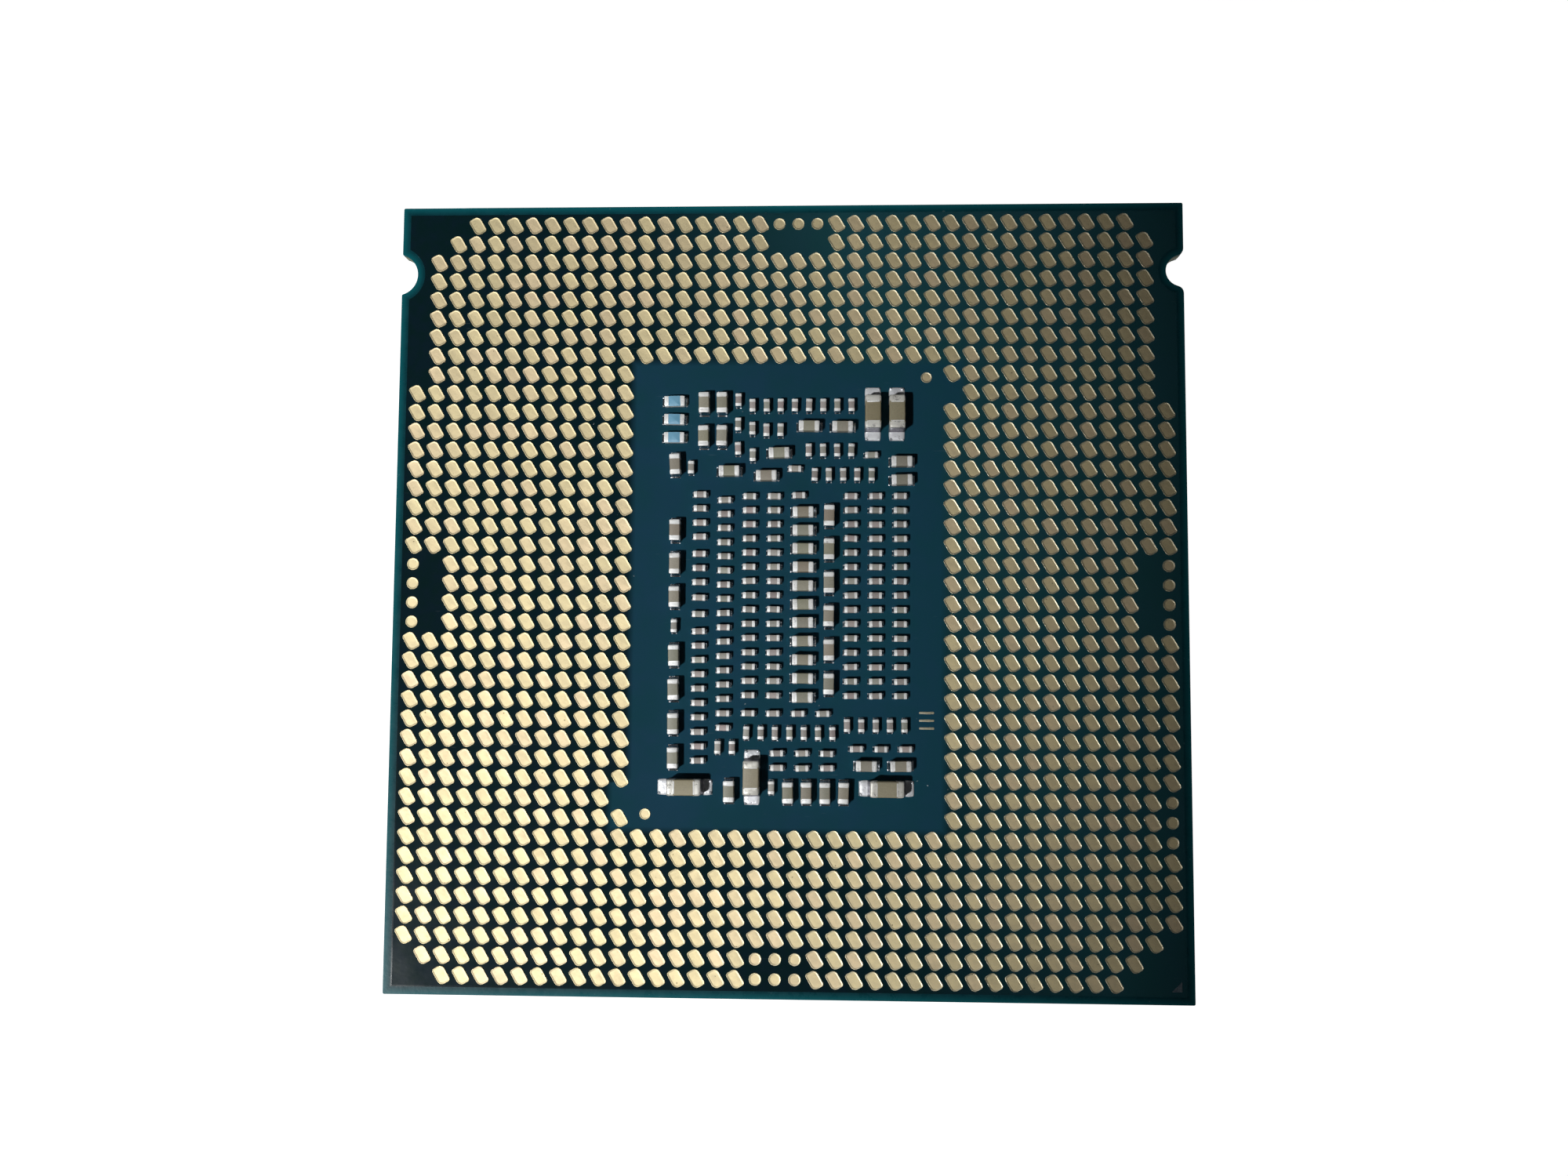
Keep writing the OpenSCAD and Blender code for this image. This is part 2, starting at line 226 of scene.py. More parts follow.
class Finish:
    """One node material: a Principled shader, and short ways to add nodes in front of it."""

    def __init__(self, name, **values):
        self.material = bpy.data.materials.new(name)
        self.material.use_nodes = True
        self.tree = self.material.node_tree
        self.shader = self.tree.nodes["Principled BSDF"]
        self.set(**values)
        coordinates = self.node("ShaderNodeTexCoord", output="Object")
        self.mm = self.node("ShaderNodeVectorMath", {0: coordinates, "Scale": 1 / MM}, operation="SCALE")

    def put(self, socket, value):
        """Sets a socket, or links it if the value is another node's output."""
        if isinstance(value, bpy.types.NodeSocket):
            self.tree.links.new(value, socket)
        else:
            socket.default_value = value

    def set(self, **values):
        """Sets the shader's sockets: base_color stands for Base Color, and so on."""
        names = {"ior": "IOR", "specular": "Specular IOR Level"}
        for key, value in values.items():
            self.put(self.shader.inputs[names.get(key, key.replace("_", " ").title())], value)

    def node(self, kind, inputs=None, output=0, **settings):
        node = self.tree.nodes.new(kind)
        for key, value in settings.items():
            setattr(node, key, value)
        for key, value in (inputs or {}).items():
            self.put(node.inputs[key], value)
        return node.outputs[output]

    def along(self, axis):
        """Coordinate in mm along X, Y or Z."""
        return self.node("ShaderNodeSeparateXYZ", {0: self.mm}, axis)

    def stretched(self, x, y, z):
        """Coordinates in mm, scaled along each axis."""
        return self.node("ShaderNodeVectorMath", {0: self.mm, 1: (x, y, z)}, operation="MULTIPLY")

    def noise(self, scale, detail=3.0, roughness=0.55, at=None, distortion=0.0):
        inputs = {"Vector": at or self.mm, "Scale": scale, "Detail": detail, "Roughness": roughness}
        inputs["Distortion"] = distortion
        return self.node("ShaderNodeTexNoise", inputs, "Fac")

    def dots(self, scale, low, high, at=None):
        """1 in small round dots, 0 outside them: low and high are shares of a cell's size."""
        inputs = {"Vector": at or self.mm, "Scale": scale}
        return self.span(self.node("ShaderNodeTexVoronoi", inputs, "Distance"), low, high, 1.0, 0.0)

    def span(self, value, low, high, to_low=0.0, to_high=1.0):
        """Maps low..high of a value to another range, held at its ends."""
        inputs = {"Value": value, "From Min": low, "From Max": high, "To Min": to_low, "To Max": to_high}
        return self.node("ShaderNodeMapRange", inputs)

    def math(self, operation, a, b=0.0):
        return self.node("ShaderNodeMath", {0: a, 1: b}, operation=operation)

    def mix(self, share, a, b, blend="MIX"):
        colours = {0: share, 6: a, 7: b}
        return self.node("ShaderNodeMix", colours, 2, data_type="RGBA", blend_type=blend)

    def scaled(self, colour, factor):
        """A colour made lighter or darker by a factor."""
        return self.node("ShaderNodeVectorMath", {0: colour, "Scale": factor}, operation="SCALE")

    def tint(self):
        """The three numbers from 0 to 1 that each point carries."""
        colour = self.node("ShaderNodeAttribute", output="Color", attribute_name="tint")
        return [self.node("ShaderNodeSeparateColor", {0: colour}, k) for k in range(3)]

    def bump(self, height, depth, normal=None):
        """Relief of the given depth in mm."""
        inputs = {"Height": height, "Strength": 1.0, "Distance": depth * MM}
        if normal:
            inputs["Normal"] = normal
        return self.node("ShaderNodeBump", inputs)


def rgb(red, green, blue):
    return (red, green, blue, 1.0)


def gold_plate():
    """Soft gold on nickel: each land has its own tone and hue, with grain, stains and pits.

    Rims are worn smooth and paler, most of all towards +X; their paler colour is partly wear and partly a
    painted highlight.
    """
    f = Finish("gold_plate", metallic=1.0)
    tone, hue, rim = f.tint()
    grain = f.noise(14.0, 4.0, 0.7)
    cloud = f.noise(2.2, 3.0, 0.6, distortion=0.4)
    pits = f.math("MULTIPLY", f.dots(2.3, 0.05, 0.09), f.span(f.noise(0.9), 0.5, 0.6))
    colour = f.mix(f.span(hue, 0.4, 1.0), rgb(0.825, 0.710, 0.440), rgb(0.845, 0.695, 0.470))
    colour = f.mix(f.span(cloud, 0.35, 0.75, 0.0, 0.55), colour, rgb(0.70, 0.60, 0.40))
    own_shade = f.span(tone, 0.0, 1.0, 0.94, 1.03)
    colour = f.scaled(colour, f.math("MULTIPLY", own_shade, f.span(grain, 0.3, 0.7, 0.93, 1.05)))
    # Paler rim colour: partly nickel wear, partly a painted highlight that grows towards +X.
    worn = f.math("MULTIPLY", rim, f.span(f.along("X"), -6.0, 9.0, 0.1, 1.0))
    colour = f.mix(f.math("MULTIPLY", worn, 0.6), colour, rgb(0.92, 0.87, 0.68))
    colour = f.mix(f.math("MULTIPLY", pits, 0.7), colour, rgb(0.20, 0.14, 0.07))
    f.set(base_color=colour)
    rough = f.math("ADD", f.span(grain, 0.3, 0.7, 0.58, 0.66), f.span(cloud, 0.3, 0.8, 0.0, 0.05))
    f.set(roughness=f.math("SUBTRACT", rough, f.math("MULTIPLY", worn, 0.17)))
    f.set(normal=f.bump(grain, 0.0020, f.bump(pits, -0.006)))
    return f.material


def beyond_field(f, x, y):
    """0 over the field of chip parts, 1 among the lands round it."""
    from_middle_x = f.math("ABSOLUTE", x)
    from_middle_y = f.math("ABSOLUTE", y)
    fiducial_side = f.math("GREATER_THAN", f.math("MULTIPLY", x, y), 0.0)
    near_end = f.span(from_middle_y, FIELD_CORNER_Y, FIELD_CORNER_Y + 0.2, 0.0, FIELD_CORNER_W)
    widened = f.math("MULTIPLY", near_end, fiducial_side)
    beyond_x = f.span(f.math("SUBTRACT", from_middle_x, widened), FIELD[0], FIELD[0] + FIELD_FADE)
    beyond_y = f.span(from_middle_y, FIELD[1], FIELD[1] + FIELD_FADE)
    return f.math("MAXIMUM", beyond_x, beyond_y)


def solder_mask():
    """Dark blue-green mask: clouded, faintly speckled, with dust and fine scratches.

    Over the field of chip parts it is blue. Among the lands it is darker, least so towards +X.
    """
    f = Finish("solder_mask", ior=1.28)
    x, y = f.along("X"), f.along("Y")
    cloud = f.noise(0.55, 4.0, 0.6)
    blotch = f.noise(1.7, 2.0, 0.5)
    plain = f.mix(f.span(cloud, 0.35, 0.65), rgb(0.0090, 0.049, 0.070), rgb(0.0105, 0.047, 0.080))
    light = f.mix(f.span(cloud, 0.35, 0.65), rgb(0.0105, 0.072, 0.102), rgb(0.0125, 0.070, 0.110))
    field = f.mix(f.span(x, 0.0, 12.0), plain, light)
    dark = f.mix(f.span(blotch, 0.35, 0.65), rgb(0.0030, 0.0145, 0.0165), rgb(0.0038, 0.0140, 0.0210))
    pale = f.mix(f.span(cloud, 0.35, 0.65), rgb(0.0125, 0.064, 0.074), rgb(0.0140, 0.063, 0.080))
    across = f.span(f.math("ADD", x, f.math("MULTIPLY", y, 0.35)), -5.0, 9.0)
    ring = f.mix(f.math("MULTIPLY", across, across), dark, pale)
    colour = f.mix(beyond_field(f, x, y), field, ring)
    dust = f.math("MULTIPLY", f.dots(1.1, 0.02, 0.05), f.span(f.noise(0.6), 0.5, 0.56))
    hair = f.noise(3.0, 2.0, 0.5, at=f.stretched(0.25, 4.0, 1.0))
    scratch = f.span(hair, 0.74, 0.78)
    marks = f.math("MAXIMUM", f.math("MULTIPLY", dust, 0.35), f.math("MULTIPLY", scratch, 0.10))
    f.set(base_color=f.mix(marks, colour, rgb(0.22, 0.27, 0.30)))
    f.set(roughness=f.span(cloud, 0.3, 0.7, 0.13, 0.18))
    peel = f.noise(3.0, 2.0, 0.5)
    f.set(normal=f.bump(peel, 0.0015, f.bump(dust, 0.01)))
    return f.material


def mask_edge():
    """The mask where no copper lies under it: lighter and greener, with a worn sheen."""
    f = Finish("mask_edge", ior=1.28, specular=0.3)
    near, _, _ = f.tint()
    cloud = f.noise(1.2, 4.0, 0.65)
    inner = f.mix(f.span(cloud, 0.3, 0.7), rgb(0.0025, 0.036, 0.046), rgb(0.004, 0.052, 0.066))
    colour = f.mix(f.span(near, 0.2, 1.0), inner, rgb(0.004, 0.110, 0.130))
    nicks = f.span(f.noise(4.0, 3.0, 0.7), 0.68, 0.76)
    f.set(base_color=f.mix(f.math("MULTIPLY", nicks, 0.35), colour, rgb(0.16, 0.24, 0.25)))
    f.set(roughness=f.span(cloud, 0.3, 0.7, 0.24, 0.34))
    f.set(normal=f.bump(f.noise(5.0, 3.0, 0.6), 0.003))
    return f.material


def cut_edge(name, dark, light, layers, grain=5.0):
    """A sawn laminate edge: layers along the height, and streaks across them."""
    f = Finish(name, ior=1.5, roughness=0.62)
    bands = f.noise(1.0, 2.0, 0.5, at=f.stretched(0.35, 0.35, layers))
    streaks = f.noise(grain, 3.0, 0.65, at=f.stretched(1.0, 1.0, 0.15))
    share = f.math("MULTIPLY", f.span(bands, 0.35, 0.65), f.span(streaks, 0.3, 0.7, 0.5, 1.0))
    f.set(base_color=f.mix(share, dark, light))
    f.set(normal=f.bump(streaks, 0.015, f.bump(bands, 0.008)))
    return f.material


def ceramic(name, warm, cool, grey, spread=0.12):
    """Fired ceramic: each chip has its own tint, with a fine grain and darker pores."""
    f = Finish(name, ior=1.6)
    tone, hue, purity = f.tint()
    grain = f.noise(16.0, 3.0, 0.7)
    colour = f.mix(f.math("MULTIPLY", purity, 0.7), f.mix(hue, warm, cool), grey)
    own_shade = f.span(tone, 0.0, 1.0, 1 - spread, 1 + spread)
    colour = f.scaled(colour, f.math("MULTIPLY", own_shade, f.span(grain, 0.3, 0.7, 0.88, 1.1)))
    pores = f.dots(12.0, 0.08, 0.16)
    f.set(base_color=f.mix(f.math("MULTIPLY", pores, 0.3), colour, rgb(0.12, 0.10, 0.07)))
    f.set(roughness=f.span(grain, 0.3, 0.7, 0.42, 0.58))
    f.set(normal=f.bump(grain, 0.004))
    return f.material


def tin(name, metallic, colour, dull, rough, grain_scale, pitting):
    """Tin or solder: pale metal with a crystalline grain, dull stains, dark patches and small pits.

    pitting is how strongly the patches and the pits show.
    """
    f = Finish(name, metallic=metallic)
    tone, _, _ = f.tint()
    grain = f.noise(grain_scale, 4.0, 0.75)
    stain = f.span(f.noise(grain_scale / 3, 3.0, 0.6, distortion=0.5), 0.5, 0.72)
    pits = f.math("MULTIPLY", f.dots(grain_scale / 1.6, 0.10, 0.18), pitting)
    worn = f.math("MULTIPLY", f.math("ADD", stain, tone), 0.4)
    patches = f.math("MULTIPLY", f.span(f.noise(grain_scale / 2, 4.0, 0.7), 0.58, 0.66), pitting)
    base = f.mix(worn, colour, dull)
    f.set(base_color=f.mix(f.math("MAXIMUM", pits, patches), base, rgb(0.12, 0.11, 0.11)))
    f.set(roughness=f.span(grain, 0.3, 0.7, rough - 0.07, rough + 0.07))
    f.set(normal=f.bump(grain, 0.010, f.bump(pits, -0.012)))
    return f.material


def blue_glaze():
    """Glassy blue overglaze, a little mottled."""
    f = Finish("blue_glaze", ior=1.5)
    cloud = f.noise(3.5, 3.0, 0.6)
    f.set(base_color=f.mix(f.span(cloud, 0.35, 0.65), rgb(0.150, 0.35, 0.49), rgb(0.190, 0.40, 0.56)))
    f.set(roughness=f.span(cloud, 0.3, 0.7, 0.30, 0.42))
    f.set(normal=f.bump(f.noise(9.0), 0.003))
    return f.material


def speckled(name, light, dark, scale, rough, depth, metallic=0.0):
    """A plain stuff with a fine two-tone grain."""
    f = Finish(name, metallic=metallic)
    grain = f.noise(scale, 4.0, 0.65)
    cloud = f.noise(scale / 12, 3.0, 0.6)
    share = f.math("MULTIPLY", f.span(grain, 0.3, 0.7), f.span(cloud, 0.3, 0.7, 0.6, 1.0))
    f.set(base_color=f.mix(share, dark, light))
    f.set(roughness=f.span(grain, 0.3, 0.7, rough - 0.05, rough + 0.05))
    f.set(normal=f.bump(grain, depth))
    return f.material


def nickel_plate():
    """Satin nickel over copper: fine blasted grain, long faint scuffs and cloudy stains."""
    f = Finish("nickel_plate", metallic=1.0)
    grain = f.noise(18.0, 3.0, 0.7)
    cloud = f.noise(0.35, 4.0, 0.6, distortion=0.3)
    scuffs = f.span(f.noise(2.0, 3.0, 0.6, at=f.stretched(0.15, 3.0, 1.0)), 0.66, 0.74)
    colour = f.mix(f.span(cloud, 0.3, 0.7), rgb(0.43, 0.42, 0.40), rgb(0.53, 0.52, 0.49))
    f.set(base_color=f.mix(f.math("MULTIPLY", scuffs, 0.5), colour, rgb(0.64, 0.63, 0.61)))
    rough = f.math("ADD", f.span(grain, 0.3, 0.7, 0.28, 0.38), f.span(cloud, 0.3, 0.7, 0.0, 0.06))
    f.set(roughness=rough)
    f.set(normal=f.bump(grain, 0.003, f.bump(scuffs, -0.002)))
    return f.material


# ---- Camera, light and floor --------------------------------------------------------------------

LAND_FACE = box("land_side_mask")[1][2]
# The camera's place over the land face, the point there that it aims at, and its lens, in mm
CAMERA_OVER = (2.417, -4.789)
CAMERA_HEIGHT = 65.344
CAMERA_AIM = (-0.136, 0.280)
PICTURE_UP = Vector((-0.0061, 1.0, 0.0))
LENS, SENSOR = 31.97, 36.0


def make_camera():
    """A camera almost straight above the lands, a little towards -Y and +X of their middle."""
    data = bpy.data.cameras.new("camera")
    data.lens = LENS
    data.sensor_width = SENSOR
    data.clip_start = 5 * MM
    data.clip_end = 10.0
    camera = bpy.data.objects.new("camera", data)
    bpy.context.scene.collection.objects.link(camera)
    stand = Vector((*CAMERA_OVER, LAND_FACE + CAMERA_HEIGHT)) * MM
    ahead = (Vector((*CAMERA_AIM, LAND_FACE)) * MM - stand).normalized()
    right = ahead.cross(PICTURE_UP).normalized()
    up = right.cross(ahead)
    camera.matrix_world = Matrix.Translation(stand) @ Matrix((right, up, -ahead)).transposed().to_4x4()
    bpy.context.scene.camera = camera


# The key light's place, aim and size, in metres. It stands towards -X -Y, and its cone fades out over
# the package's +X side.
KEY_FROM = Vector((-0.54, -0.37, 1.0)).normalized() * 0.5
KEY_AIM = Vector((-0.0715, -0.012, 0.0))
KEY_CONE = math.radians(18.9)
KEY_FADE = 0.15
KEY_RADIUS = 0.013
KEY_WATTS = 9.2


def make_key():
    """A small round spotlight with a soft edge."""
    data = bpy.data.lights.new("key", "SPOT")
    data.energy = KEY_WATTS
    data.color = (0.985, 1.0, 1.0)
    data.spot_size = KEY_CONE
    data.spot_blend = KEY_FADE
    data.shadow_soft_size = KEY_RADIUS
    lamp = bpy.data.objects.new("key", data)
    bpy.context.scene.collection.objects.link(lamp)
    lamp.location = KEY_FROM
    lamp.rotation_mode = "QUATERNION"
    lamp.rotation_quaternion = (KEY_FROM - KEY_AIM).to_track_quat("Z", "Y")


def make_world():
    """A dim room, lighter near the horizon, which the camera itself sees as pale."""
    world = bpy.data.worlds.new("room")
    bpy.context.scene.world = world
    world.use_nodes = True
    tree = world.node_tree
    room = tree.nodes["Background"]
    room.inputs["Color"].default_value = rgb(0.93, 0.97, 1.0)
    place = tree.nodes.new("ShaderNodeTexCoord")
    split = tree.nodes.new("ShaderNodeSeparateXYZ")
    ramp = tree.nodes.new("ShaderNodeMapRange")
    ramp.inputs["From Min"].default_value = 0.0
    ramp.inputs["From Max"].default_value = 0.4
    ramp.inputs["To Min"].default_value = 0.20
    ramp.inputs["To Max"].default_value = 0.02
    tree.links.new(place.outputs["Generated"], split.inputs[0])
    tree.links.new(split.outputs["Z"], ramp.inputs["Value"])
    tree.links.new(ramp.outputs[0], room.inputs["Strength"])
    seen = tree.nodes.new("ShaderNodeBackground")
    seen.inputs["Color"].default_value = rgb(1.0, 1.0, 1.0)
    path = tree.nodes.new("ShaderNodeLightPath")
    mix = tree.nodes.new("ShaderNodeMixShader")
    tree.links.new(path.outputs["Is Camera Ray"], mix.inputs[0])
    tree.links.new(room.outputs[0], mix.inputs[1])
    tree.links.new(seen.outputs[0], mix.inputs[2])
    tree.links.new(mix.outputs[0], tree.nodes["World Output"].inputs["Surface"])


def make_floor():
    """A pale, faintly clouded table top. It glows, and most of all as the camera itself sees it."""
    half = 1.5
    mesh = bpy.data.meshes.new("floor")
    corners = [(-half, -half, 0.0), (half, -half, 0.0), (half, half, 0.0), (-half, half, 0.0)]
    mesh.from_pydata(corners, [], [(0, 1, 2, 3)])
    f = Finish("floor", roughness=0.8, specular=0.1)
    cloud = f.noise(0.05, 3.0, 0.5)
    f.set(base_color=f.mix(f.span(cloud, 0.3, 0.7), rgb(0.28, 0.28, 0.28), rgb(0.30, 0.30, 0.30)))
    seen = f.node("ShaderNodeLightPath", output="Is Camera Ray")
    f.set(emission_color=rgb(1.0, 1.0, 1.0), emission_strength=f.span(seen, 0.0, 1.0, 0.45, 1.0))
    mesh.materials.append(f.material)
    floor = bpy.data.objects.new("floor", mesh)
    bpy.context.scene.collection.objects.link(floor)


make_camera()
bpy.context.scene.view_settings.view_transform = "Standard"
make_world()
make_key()
make_floor()


# ---- Laminate -----------------------------------------------------------------------------------

# Half the side of the square package
HALF = box("laminate_core")[1][0]


def arc(cx, cy, r, start, end, steps):
    """Points on an arc from one angle to another."""
    turns = [start + (end - start) * i / (steps - 1) for i in range(steps)]
    return [(cx + r * math.cos(a), cy + r * math.sin(a)) for a in turns]


def notch(centre_in, radius, flare, back):
    """A notch in a straight edge that runs along +Y with the package on its left.

    Its points are measured from where the edge meets the notch's level. Walls are moved in by back.
    """
    r = max(flare - back, SMALLEST_R)
    across = centre_in - back - r
    along = math.sqrt((radius + back + r) ** 2 - across**2)
    touch = math.atan2(along, -across)
    sweep = math.atan2(along, across)
    lower = arc(-back - r, -along, r, 0.0, touch, 5)
    wall = arc(-centre_in, 0.0, radius + back, -sweep, sweep - 2 * math.pi, 21)
    upper = arc(-back - r, along, r, -touch, 0.0, 5)
    return lower + wall[1:-1] + upper


def package(back, z):
    """The package's outline at height z, anticlockwise, with all of its walls moved in by back."""
    r = max(CORNER_R - back, SMALLEST_R)
    c = HALF - back - r
    right = [(HALF + x, NOTCH_Y + y) for x, y in notch(**RIGHT_NOTCH, back=back)]
    left = [(-HALF - x, NOTCH_Y - y) for x, y in notch(**LEFT_NOTCH, back=back)]
    quarter = math.pi / 2
    points = arc(c, -c, r, -quarter, 0.0, 4) + right + arc(c, c, r, 0.0, quarter, 4)
    points += arc(-c, c, r, quarter, 2 * quarter, 4) + left + arc(-c, -c, r, 2 * quarter, 3 * quarter, 4)
    return flat(points, z)


def mask_plate(inner, outer):
    """A mask from its inner height to its outer one, with a lower strip where the copper stops.

    Each step in height has a level ring beside it, which keeps the shading of the level parts flat.
    The tint is how near the edge a point is. Material 0 is over copper, and 1 over the strip.
    """
    out = 1 if outer > inner else -1
    strip = outer - out * STRIP_DROP
    rim = outer - out * RIM_DROP
    wall, step = 0.012, 0.03
    support = step + 0.015
    stations = [(wall, inner), (wall, rim), (2 * wall, strip), (0.045, strip), (0.16, strip)]
    stations += [(COPPER_BACK - support, strip), (COPPER_BACK - step, strip)]
    stations += [(COPPER_BACK + step, outer), (COPPER_BACK + support, outer)]
    slots = [1, 1, 1, 1, 1, 1, 0, 0, 0]
    if out < 0:
        stations, slots = stations[::-1], [0, 0, 1, 1, 1, 1, 1, 1, 1]
    rings = [package(back, z) for back, z in stations]
    nearness = [1.0 - back / COPPER_BACK for back, _ in stations for _ in rings[0]]
    return Gather().add(loft(rings, slots), tint=[(near, near, near) for near in nearness])


def board_layer(node, back):
    """One build-up or core layer, with slightly eased edges."""
    low, high = box(node)
    ease = 0.01
    stations = [(back + ease, low[2]), (back, low[2] + ease)]
    stations += [(back, high[2] - ease), (back + ease, high[2])]
    return loft([package(inset, z) for inset, z in stations])


mask_materials = [solder_mask(), mask_edge()]
for side, inner, outer in (("land", 0, 1), ("die", 1, 0)):
    corners = box(side + "_side_mask")
    shape = mask_plate(corners[inner][2], corners[outer][2])
    piece(side + "_side_solder_mask", shape, mask_materials, [side + "_side_mask"])
film = cut_edge("buildup_film", rgb(0.008, 0.050, 0.052), rgb(0.030, 0.120, 0.110), 9.0)
for side in ("land", "die"):
    node = side + "_side_buildup"
    piece(side + "_side_film", board_layer(node, 0.004), [film], [node])
weave = cut_edge("glass_core", rgb(0.13, 0.14, 0.07), rgb(0.36, 0.37, 0.24), 14.0, 7.0)
piece("woven_core", board_layer("laminate_core", 0.0), [weave], ["laminate_core"])


# ---- Contact lands and round pads ---------------------------------------------------------------

# Inset and height of each ring of a plated pad: a thin rim round a dished middle
PAD_RINGS = (
    (0.000, 0.000), (0.016, 0.028), (0.022, 0.030), (0.036, 0.0262),
    (0.056, 0.0205), (0.072, 0.0160), (0.086, 0.0147), (0.105, 0.0145), (0.115, 0.0145),
)
# Which of these rings lie on the rim, where the plating is worn paler, partly as a painted highlight
RIM_RINGS = (1, 2, 3, 4)


def pad(outline_at):
    """A plated pad from its outline at each inset."""
    return loft([flat(outline_at(inset), z) for inset, z in PAD_RINGS])


def land_outline(inset):
    """A land's outline, moved in by inset."""
    return rounded(LAND_W, LAND_L, LAND_RADII, inset)


def tints(rng):
    """Three random numbers for one copy: its tone, its hue and how grey it is."""
    return rng.random(), rng.random(), rng.random()


def pads(name, node, shapes, turn, rng):
    """Puts one of the shapes on every solid of a CAD node. The third tint number is 1 on the rim."""
    gathered = Gather()
    for low, high in islands(node):
        middle = (low + high) / 2
        place = (middle[0], middle[1], low[2])
        shape = rng.choice(shapes)
        tone, hue, _ = tints(rng)
        count = len(shape[0])
        per_ring = count // len(PAD_RINGS)
        on_rim = [float(i // per_ring in RIM_RINGS) for i in range(count)]
        gathered.add(shape, place, turn, [(tone, hue, rim) for rim in on_rim])
    return piece(name, gathered, [gold], [node])


gold = gold_plate()
land_rng = random.Random(11)
jitter = np.random.default_rng(11)
land_shapes = [roughened(pad(land_outline), 0.0004, jitter) for _ in range(8)]
for quarter in ("north", "west", "east", "south"):
    pads("plated_lands_" + quarter, "lands_" + quarter, land_shapes, LAND_LEAN, land_rng)


def round_pads(name, node):
    """Puts a round pad on every solid of a CAD node."""
    low, high = islands(node)[0]
    radius = (high[0] - low[0]) / 2
    shape = pad(lambda inset: circle(radius - inset, 24))
    return pads(name, node, [shape], 0.0, land_rng)


round_pads("plated_test_pads", "test_pads")
round_pads("plated_fiducials", "fiducial_pads")


# ---- Marks --------------------------------------------------------------------------------------


def corner_mark(name, node, materials, up):
    """A thin triangle with its square corner to +X -Y. Its free face, up or down, has eased edges."""
    low, high = box(node)
    ease = 0.012

    def ring(inset, z):
        far = inset * (1 + math.sqrt(2))
        x, y = high[0] - inset, low[1] + inset
        return [(x, y, z), (x, high[1] - far, z), (low[0] + far, y, z)]

    bottom, top = (0.0, ease) if up else (ease, 0.0)
    rings = [ring(bottom, low[2]), ring(top, high[2])]
    return piece(name, loft(rings), materials, [node])


scuffed = speckled("bare_mark", rgb(0.16, 0.19, 0.22), rgb(0.02, 0.05, 0.07), 7.0, 0.5, 0.01)
corner_mark("scuffed_corner_mark", "pin_one_mark", [scuffed], True)
corner_mark("lid_side_corner_mark", "lid_side_pin_one_mark", [gold], False)

stencil = Gather()
for low, high in islands("stencil_mark"):
    size = high - low
    radius = size[1] * 0.35
    rings = []
    for inset, z in ((0.0, 0.0), (0.004, 0.010), (0.014, size[2])):
        rings.append(flat(rounded(size[0], size[1], [radius] * 4, inset), z))
    middle = (low + high) / 2
    stencil.add(loft(rings), (middle[0], middle[1], low[2]))
pale = speckled("stencil_gold", rgb(0.52, 0.48, 0.34), rgb(0.30, 0.28, 0.19), 12.0, 0.45, 0.006)
piece("plain_stencil_bars", stencil, [pale], ["stencil_mark"])


# ---- Chip parts ---------------------------------------------------------------------------------


class Chip:
    """Sizes and places of one family of chip parts, read from its CAD nodes."""

    def __init__(self, bodies, ends, solder):
        caps = islands(ends)
        low, high = caps[0]
        self.foot = low[2]
        self.end, self.width = sorted((high - low)[:2])
        self.height = high[2] - low[2]
        joint_low, joint_high = islands(solder)[0]
        joint = joint_high - joint_low
        self.pad_z = joint_low[2]
        self.out = joint[0] * joint[1] / self.width - self.end
        middles = [(a + b) / 2 for a, b in caps]
        self.places = []
        for a, b in islands(bodies):
            middle = (a + b) / 2
            along = min((m - middle for m in middles), key=lambda d: math.hypot(d[0], d[1]))
            self.length = 2 * math.hypot(along[0], along[1]) + self.end
            turn = 0.0 if abs(along[0]) > abs(along[1]) else math.pi / 2
            self.places.append((middle[0], middle[1], turn))


def ceramic_block(chip, height, ease, steps):
    """The block between the metal ends, which it runs into a little way."""
    half = chip.length / 2 - chip.end * 0.8
    section = rounded(chip.width - 0.02, height - 0.01, [ease] * 4, 0.0, steps)
    middle = (height - 0.01) / 2
    stations = [-half, -half / 3, half / 3, half]
    return loft([upright(section, x, middle) for x in stations])


def end_cap(chip, ease, steps, rough, rng):
    """The metal end towards +X: a cup with round edges and a lip where it meets the ceramic.

    Material 0 is for its sides, 1 for its outer face, which solder wets, and 2 for the lip.
    """
    start = chip.length / 2 - chip.end
    # Share of the end's length and inset of each ring
    lengthwise = [(0.00, 0.012), (0.07, 0.0), (0.16, 0.004), (0.50, 0.003), (0.72, 0.004)]
    lengthwise += [(0.88, 0.25 * ease), (0.97, 0.6 * ease), (1.0, ease)]
    rings = []
    for share, inset in lengthwise:
        section = rounded(chip.width, chip.height, [ease * 1.6] * 4, inset, steps)
        rings.append(upright(section, start + share * chip.end, chip.height / 2))
    slots = [2, 2] + [0] * (len(rings) - 4) + [1, 1]
    points, faces, marks = roughened(loft(rings, slots), rough, rng)
    lip = len(rings[0])
    points[:lip, 0] += np.abs(rng.normal(0.0, 4 * rough, lip))
    points[:, 0] = np.clip(points[:, 0], start, chip.length / 2)
    points[:, 1] = np.clip(points[:, 1], -chip.width / 2, chip.width / 2)
    points[:, 2] = np.clip(points[:, 2], 0.0, chip.height)
    return points, faces, marks


def sheet_faces(columns, rows):
    """Faces of a sheet of points, column by column, and then one face across its border."""
    faces = []
    for i in range(columns - 1):
        for j in range(rows - 1):
            a = i * rows + j
            faces.append((a + 1, a + rows + 1, a + rows, a))
    border = list(range(rows))
    border += [i * rows + rows - 1 for i in range(1, columns)]
    border += [(columns - 1) * rows + j for j in range(rows - 2, -1, -1)]
    border += [i * rows for i in range(columns - 2, 0, -1)]
    return faces + [tuple(border)]


